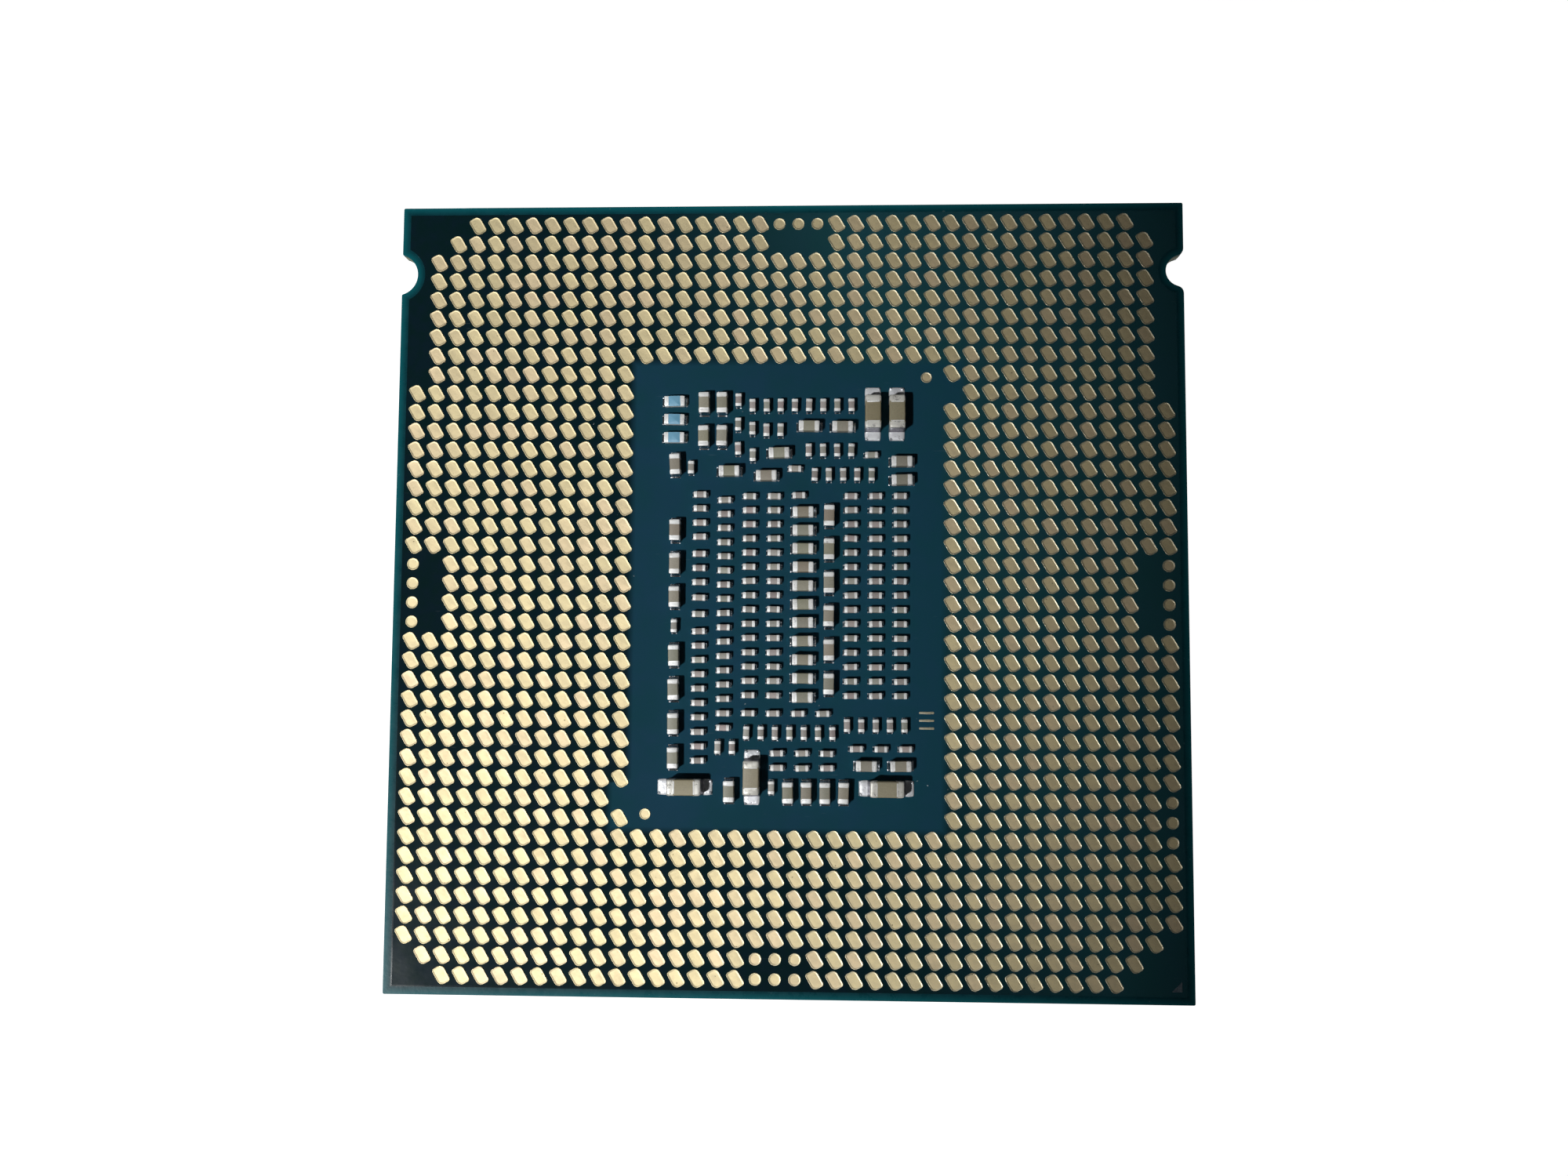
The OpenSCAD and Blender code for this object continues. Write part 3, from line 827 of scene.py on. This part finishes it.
def solder_joint(chip, bead, climb, reach, steps, rough, rng):
    """Solder on the pad at +X: a low bead that climbs the metal end in a hollow curve.

    bead is the height of solder on the open pad, and climb its height where it meets the end. The
    hollow curve takes up the share of the open pad that reach gives. A small drop stands on each outer
    corner. Material 0 is for the bead, 1 for the curve and 2 for the drops.
    """
    largest_drop = 0.12 * chip.out + 0.026
    drops = {side: largest_drop * rng.uniform(0.35, 1.0) for side in (-1, 1)}
    end_x = chip.length / 2
    far, near = end_x + chip.out, end_x - chip.end
    columns = [end_x + chip.out * (1 + math.cos(math.pi * i / steps)) / 2 for i in range(steps + 1)]
    columns += [end_x - chip.end * 0.3, near]
    rows = [math.sin(math.pi / 2 * (2 * j / steps - 1)) for j in range(steps + 1)]
    points = []
    for x in columns:
        open_share = max(0.0, (x - end_x) / chip.out)
        height = bead * math.sqrt(max(0.0, 1 - open_share**6))
        height += (climb - bead) * max(0.0, 1 - open_share / reach) ** 2
        half = chip.width / 2 * (1 - 0.12 * open_share**4)
        for s in rows:
            z = 0.0 if x in (far, near) else height * math.sqrt(max(0.0, 1 - abs(s) ** 5))
            drop = drops[1 if s > 0 else -1]
            from_drop = math.hypot(x - far + drop, abs(s) * half - half + drop)
            if z > 0:
                z += 0.9 * math.sqrt(max(0.0, drop**2 - from_drop**2))
            points.append((x, s * half, z))
    points = np.array(points)
    faces = sheet_faces(len(columns), len(rows))
    marks = []
    for corners in faces[:-1]:
        x = points[corners[-1], 0]
        middle = points[list(corners)].mean(0)
        drop = drops[1 if middle[1] > 0 else -1]
        from_drop = math.hypot(middle[0] - far + drop, abs(middle[1]) - chip.width / 2 * 0.9 + drop)
        if from_drop < drop and x > end_x:
            marks.append(2)
        else:
            marks.append(int(x < end_x + reach * chip.out))
    raised = points[:, 2] > 1e-6
    points[raised, 2] += np.abs(rng.normal(0.0, rough, raised.sum()))
    return points, faces, marks + [0]


def chip_family(name, look, detail):
    """Builds the ceramics, the metal ends and the solder of one family of capacitors."""
    bodies, ends, solder = name + "s", name + "_ends", name + "_solder"
    chip = Chip(bodies, ends, solder)
    rng = random.Random(detail["seed"])
    noise = np.random.default_rng(detail["seed"])
    ease, steps = detail["ease"], detail["steps"]
    block = ceramic_block(chip, chip.height, ease, steps)
    rough, variants = detail["rough"], range(detail["variants"])
    caps = [end_cap(chip, ease, steps, rough, noise) for _ in variants]
    joints = [solder_joint(chip, *detail["joint"], rough, noise) for _ in variants]
    blocks, metal, fillets = Gather(), Gather(), Gather()
    shift = detail["shift"]
    for x, y, turn in chip.places:
        place = (x + rng.uniform(-shift, shift), y + rng.uniform(-shift, shift), chip.foot)
        lean = turn + math.radians(rng.gauss(0.0, detail["lean"]))
        tint = tints(rng)
        blocks.add(block, place, lean, tint)
        for half_turn in (0.0, math.pi):
            metal.add(rng.choice(caps), place, lean + half_turn, tint)
            fillets.add(rng.choice(joints), (x, y, chip.pad_z), turn + half_turn, tint)
    piece(name + "_ceramics", blocks, [look], [bodies])
    wetted = detail["wetted"]
    # The lip takes tin_ends; on the large parts, whose ends are rough_ends, the lip's whiter colour is
    # partly a painted highlight along the lip.
    piece(name + "_tin_ends", metal, [detail["ends"], wetted, tin_ends], [ends], sharp=50)
    solders = [detail["solder"], wetted, dull_solder]
    piece(name + "_fillets", fillets, solders, [solder], sharp=50)


tin_ends = tin("tin_ends", 0.15, rgb(0.95, 0.95, 0.94), rgb(0.70, 0.67, 0.64), 0.40, 11.0, 0.35)
rough_ends = tin("rough_ends", 0.25, rgb(0.84, 0.82, 0.76), rgb(0.50, 0.47, 0.41), 0.40, 8.0, 0.6)
bright_solder = tin("bright_solder", 1.0, rgb(0.74, 0.78, 0.82), rgb(0.50, 0.52, 0.56), 0.14, 7.0, 0.3)
# The dark solder on the next line is painted shade: on the large parts it darkens the hollow curve where
# solder climbs each end, and the ends' outer faces.
painted_shade_solder = tin("painted_shade_solder", 0.7, rgb(0.32, 0.31, 0.35), rgb(0.18, 0.17, 0.20), 0.30, 8.0, 0.5)
dull_solder = tin("dull_solder", 0.6, rgb(0.66, 0.68, 0.72), rgb(0.34, 0.34, 0.37), 0.30, 9.0, 0.5)
frosted_solder = tin("frosted_solder", 0.35, rgb(0.95, 0.96, 0.98), rgb(0.74, 0.73, 0.77), 0.35, 7.0, 0.5)
small_looks = rgb(0.34, 0.270, 0.260), rgb(0.28, 0.290, 0.235), rgb(0.31, 0.290, 0.270)
ceramic_small = ceramic("capacitor_ceramic_small", *small_looks, spread=0.22)
medium_looks = rgb(0.290, 0.230, 0.175), rgb(0.255, 0.255, 0.180), rgb(0.275, 0.265, 0.220)
ceramic_medium = ceramic("capacitor_ceramic_medium", *medium_looks)
large_looks = rgb(0.29, 0.235, 0.145), rgb(0.28, 0.25, 0.125), rgb(0.29, 0.26, 0.19)
ceramic_large = ceramic("capacitor_ceramic_large", *large_looks, spread=0.06)

# Each family's ease is the radius of its edges, steps the points round one of them, rough how far
# points stray, joint the bead, climb, reach and steps of its solder, shift how far parts sit off their
# places, and lean how far they are turned, in degrees.
SMALL = {
    "seed": 21,
    "slot": "capacitor_ceramic_small",
    "ease": 0.030,
    "steps": 3,
    "rough": 0.0025,
    "variants": 10,
    "joint": (0.030, 0.17, 0.6, 6),
    "shift": 0.008,
    "lean": 1.0,
    "ends": tin_ends,
    "wetted": bright_solder,
    "solder": bright_solder,
}
MEDIUM = {
    "seed": 22,
    "slot": "capacitor_ceramic",
    "ease": 0.045,
    "steps": 4,
    "rough": 0.0035,
    "variants": 10,
    "joint": (0.035, 0.26, 0.6, 8),
    "shift": 0.010,
    "lean": 0.8,
    "ends": tin_ends,
    "wetted": bright_solder,
    "solder": bright_solder,
}
LARGE = {
    "seed": 23,
    "slot": "capacitor_ceramic",
    "ease": 0.070,
    "steps": 6,
    "rough": 0.0045,
    "variants": 10,
    "joint": (0.080, 0.42, 0.2, 18),
    "shift": 0.012,
    "lean": 0.6,
    "ends": rough_ends,
    # The large parts' wetted faces and solder curves are darkened with painted shade.
    "wetted": painted_shade_solder,
    "solder": frosted_solder,
}
chip_family("small_capacitor", ceramic_small, SMALL)
chip_family("medium_capacitor", ceramic_medium, MEDIUM)
chip_family("large_capacitor", ceramic_large, LARGE)


def resistors():
    """Alumina slabs with a blue glaze on top, flat metal ends and their solder."""
    chip = Chip("resistor_bodies", "resistor_ends", "resistor_solder")
    glaze_low, glaze_high = islands("resistor_glaze")[0]
    glaze = glaze_high - glaze_low
    slab = chip.height - glaze[2]
    rng = random.Random(24)
    noise = np.random.default_rng(24)
    core = ceramic_block(chip, slab, 0.02, 3)
    rough, variants = 0.0025, range(6)
    caps = [end_cap(chip, 0.030, 4, rough, noise) for _ in variants]
    joints = [solder_joint(chip, 0.030, 0.16, 0.6, 8, rough, noise) for _ in variants]
    top = slab + glaze[2]
    cover_rings = []
    for inset, z in ((0.004, slab - 0.02), (0.0, slab), (0.004, slab + glaze[2] * 0.7), (0.03, top)):
        cover_rings.append(flat(rounded(glaze[0] + 0.03, chip.width, [0.04] * 4, inset), z))
    cover = loft(cover_rings)
    slabs, covers, metal, fillets = Gather(), Gather(), Gather(), Gather()
    for x, y, turn in chip.places:
        lean = turn + math.radians(rng.gauss(0.0, 0.6))
        place = (x, y, chip.foot)
        tint = tints(rng)
        slabs.add(core, place, lean, tint)
        covers.add(cover, place, lean, tint)
        for half_turn in (0.0, math.pi):
            metal.add(rng.choice(caps), place, lean + half_turn, tint)
            fillets.add(rng.choice(joints), (x, y, chip.pad_z), turn + half_turn, tint)
    alumina = speckled("alumina", rgb(0.78, 0.77, 0.74), rgb(0.62, 0.61, 0.58), 14.0, 0.5, 0.004)
    piece("resistor_slabs", slabs, [alumina], ["resistor_bodies"])
    piece("resistor_covers", covers, [blue_glaze()], ["resistor_glaze"])
    tins = [tin_ends, bright_solder, tin_ends]
    piece("resistor_tin_ends", metal, tins, ["resistor_ends"], sharp=50)
    solders = [bright_solder, bright_solder, dull_solder]
    piece("resistor_fillets", fillets, solders, ["resistor_solder"], sharp=50)


resistors()


# ---- Heat spreader, sealant and die --------------------------------------------------------------


def spreader():
    """The stepped lid: contact face, step, flange and foot, then the walls and roof of its cavity."""
    low, high = box("heat_spreader")
    flange = (high - low)[:2]
    foot = high[2]
    inner_step = 0.25
    # Outline, inset and height of each ring
    stations = [
        (PLATEAU, 0.16, 0.0), (PLATEAU, 0.05, 0.04), (PLATEAU, 0.0, 0.16),
        (PLATEAU, 0.0, STEP_Z - inner_step), (PLATEAU, -0.06, STEP_Z - 0.07), (PLATEAU, -0.22, STEP_Z),
        (flange, 0.14, STEP_Z), (flange, 0.04, STEP_Z + 0.04), (flange, 0.0, STEP_Z + 0.15),
        (flange, 0.0, foot - 0.08), (flange, 0.08, foot),
        (CAVITY, -0.05, foot), (CAVITY, 0.0, foot - 0.06),
        (CAVITY, 0.0, foot - CAVITY_H + 0.12), (CAVITY, 0.12, foot - CAVITY_H),
    ]
    rings = []
    for (width, length), inset, z in stations:
        rings.append(flat(rounded(width, length, [SPREADER_R] * 4, inset, 9), z))
    return loft(rings)


piece("nickel_lid", spreader(), [nickel_plate()], ["heat_spreader"])


def straight(start, end, outward, shares):
    """Points on a straight side at some shares of its length, each with its outward direction."""
    (x0, y0), (x1, y1) = start, end
    return [(x0 + (x1 - x0) * share, y0 + (y1 - y0) * share, *outward) for share in shares]


def along_rounded(width, length, radius, gap_x, gap_w, count):
    """Points and outward directions round a rounded rectangle, anticlockwise.

    They start at one side of a gap in the +Y side and end at its other side.
    """
    turn_steps = 8
    half_x, half_y = width / 2 - radius, length / 2 - radius
    centres = [(-half_x, half_y), (-half_x, -half_y), (half_x, -half_y), (half_x, half_y)]
    inner = [i / count for i in range(1, count)]
    top = length / 2
    path = straight((gap_x - gap_w / 2, top), (-half_x, top), (0.0, 1.0), [0.0] + inner)
    for k, (cx, cy) in enumerate(centres):
        for i in range(turn_steps):
            a = math.pi / 2 * (1 + k + i / (turn_steps - 1))
            nx, ny = math.cos(a), math.sin(a)
            path.append((cx + radius * nx, cy + radius * ny, nx, ny))
        if k < 3:
            next_x, next_y = centres[k + 1]
            start = (cx + radius * nx, cy + radius * ny)
            end = (next_x + radius * nx, next_y + radius * ny)
            path += straight(start, end, (nx, ny), inner)
    last = [i / 8 for i in range(1, 9)]
    path += straight((half_x, top), (gap_x + gap_w / 2, top), (0.0, 1.0), last)
    return path


def sealant():
    """A squeezed bead with wavy sides that stops on each side of the vent gap."""
    low, high = box("lid_sealant")
    width, length = (high - low)[:2]
    thick = high[2] - low[2]
    rng = random.Random(31)
    path = along_rounded(width - BEAD_W, length - BEAD_W, SPREADER_R, VENT_X, VENT_W, 24)
    rings = []
    for k, (x, y, nx, ny) in enumerate(path):
        taper = 0.55 if k in (0, len(path) - 1) else 1.0
        half = (BEAD_W / 2 - 0.05 - rng.random() * 0.10) * taper
        section = [(half - 0.06, 0.0), (half, thick / 2), (half - 0.06, thick)]
        section += [(0.06 - half, thick), (-half, thick / 2), (0.06 - half, 0.0)]
        rings.append([(x + nx * a, y + ny * a, low[2] + z) for a, z in section])
    return loft(rings)


silicone = speckled("black_silicone", rgb(0.030, 0.030, 0.032), rgb(0.012, 0.012, 0.013), 6.0, 0.5, 0.010)
piece("silicone_bead", sealant(), [silicone], ["lid_sealant"])


def eased_block(node, ease, radius):
    """A flat block with a node's box, its edges eased and its corners round."""
    low, high = box(node)
    size = high - low
    stations = [(ease, 0.0), (0.0, ease), (0.0, size[2] - ease), (ease, size[2])]
    outline = [(rounded(size[0], size[1], [radius] * 4, inset), z) for inset, z in stations]
    middle = (low + high) / 2
    return Gather().add(loft([flat(o, z) for o, z in outline]), (middle[0], middle[1], low[2]))


def underfill():
    """A resin collar that climbs the die's sides in a hollow curve."""
    low, high = box("die_underfill")
    die_low, die_high = box("silicon_die")
    die_w, die_l = (die_high - die_low)[:2]
    spread = (high - low)[0] / 2 - die_w / 2
    tall = high[2] - low[2]

    def ring(out, z):
        outline = rounded(die_w + 2 * out, die_l + 2 * out, [0.05 + out] * 4, 0.0, 6)
        return flat(outline, z)

    rings = [ring(0.0, high[2]), ring(0.0, low[2])]
    for share in (0.08, 0.2, 0.4, 0.65, 0.9, 1.0):
        rings.append(ring(spread * share, high[2] - tall * (1 - share) ** 2))
    return loft(rings, closed=True)


def bumps():
    """Barrel-shaped solder bumps, one for each in the CAD node."""
    first_low, first_high = islands("solder_bumps")[0]
    radius = (first_high[0] - first_low[0]) / 2
    tall = first_high[2] - first_low[2]
    stations = ((0.78, 0.0), (0.97, 0.3), (0.97, 0.7), (0.78, 1.0))
    barrel = loft([flat(circle(radius * share, 16), tall * z) for share, z in stations])
    gathered = Gather()
    for low, high in islands("solder_bumps"):
        middle = (low + high) / 2
        gathered.add(barrel, (middle[0], middle[1], low[2]))
    return gathered


silicon = speckled("silicon", rgb(0.22, 0.23, 0.25), rgb(0.14, 0.145, 0.16), 3.0, 0.18, 0.001, 0.6)
resin = speckled("underfill_resin", rgb(0.060, 0.035, 0.020), rgb(0.025, 0.014, 0.008), 9.0, 0.35, 0.003)
paste = speckled("thermal_paste", rgb(0.50, 0.51, 0.52), rgb(0.36, 0.37, 0.38), 8.0, 0.6, 0.006)
die = eased_block("silicon_die", 0.01, 0.04)
piece("bare_die", die, [silicon], ["silicon_die"])
layer = eased_block("thermal_interface", 0.02, 0.3)
piece("paste_layer", layer, [paste], ["thermal_interface"])
piece("resin_collar", underfill(), [resin], ["die_underfill"])
piece("die_bumps", bumps(), [frosted_solder], ["solder_bumps"])

copper = speckled("copper_plane", rgb(0.80, 0.42, 0.30), rgb(0.66, 0.33, 0.23), 5.0, 0.40, 0.003, 1.0)
for side in ("land", "die"):
    for material_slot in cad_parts[side + "_side_copper"].material_slots:
        material_slot.material = copper
